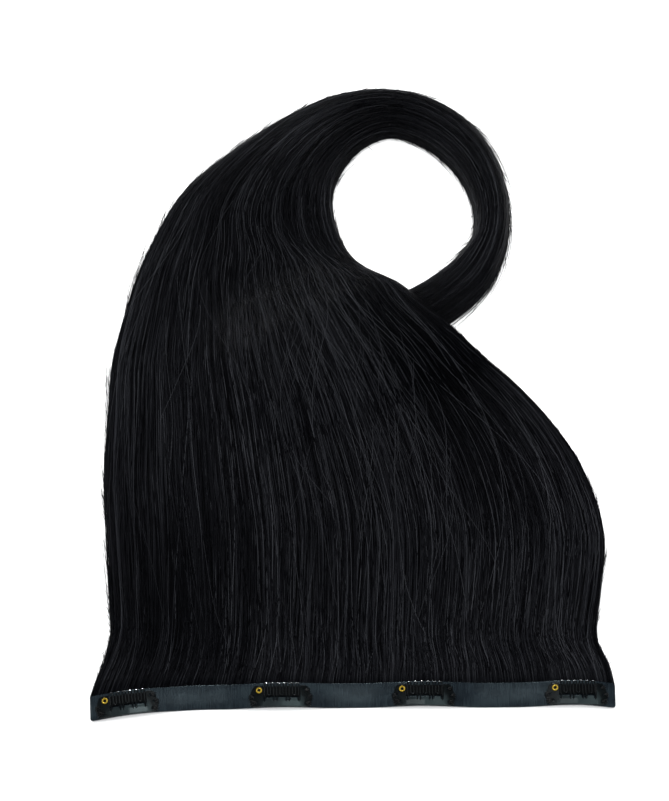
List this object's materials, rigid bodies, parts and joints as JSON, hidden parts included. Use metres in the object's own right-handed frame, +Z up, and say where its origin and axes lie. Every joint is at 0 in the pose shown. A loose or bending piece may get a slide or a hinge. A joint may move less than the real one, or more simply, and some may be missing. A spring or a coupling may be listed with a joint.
{
  "type": "clip-in hair extension weft",
  "caption": "Wide weft of long straight black hair on a flexible band with snap comb clips, lying flat, its tail curled round once and tucked under.",
  "frame": {"origin": "middle of the band's back face, where the band rests on the table", "axes": "+X along the band to the right, +Y from the band along the hair, +Z up from the table through the clips"},
  "size_m": [0.2665, 0.3789, 0.0163],
  "materials": {
    "band": "dark glossy flexible plastic, hair roots faintly visible inside",
    "hair": "straight natural black hair, soft sheen along the strands",
    "clip_steel": "black coated spring steel, satin, worn brighter at its creases",
    "clip_brass": "polished brass eyelet"
  },
  "bodies": {
    "root": {"weft_band": "band", "hair": "hair", "clip_1_frame": "clip_steel", "clip_1_eyelet": "clip_brass", "clip_2_frame": "clip_steel", "clip_2_eyelet": "clip_brass", "clip_3_frame": "clip_steel", "clip_3_eyelet": "clip_brass", "clip_4_frame": "clip_steel", "clip_4_eyelet": "clip_brass"},
    "clip_1_leaf": {"clip_1_comb": "clip_steel"},
    "clip_2_leaf": {"clip_2_comb": "clip_steel"},
    "clip_3_leaf": {"clip_3_comb": "clip_steel"},
    "clip_4_leaf": {"clip_4_comb": "clip_steel"}
  },
  "joints": [
    {"name": "clip_1_snap", "type": "hinge", "parent": "root", "child": "clip_1_leaf", "pos_m": [-0.1135, -0.0111, 0.0047], "axis": [0.9903, 0.1387, 0], "range_deg": [0, 40]},
    {"name": "clip_2_snap", "type": "hinge", "parent": "root", "child": "clip_2_leaf", "pos_m": [-0.03662, -0.00699, 0.0047], "axis": [0.9999, 0.014, 0], "range_deg": [0, 40]},
    {"name": "clip_3_snap", "type": "hinge", "parent": "root", "child": "clip_3_leaf", "pos_m": [0.03579, -0.0062, 0.0047], "axis": [1, 0.0019, 0], "range_deg": [0, 40]},
    {"name": "clip_4_snap", "type": "hinge", "parent": "root", "child": "clip_4_leaf", "pos_m": [0.11327, -0.00569, 0.0047], "axis": [1, -0.0066, 0], "range_deg": [0, 40]}
  ]
}
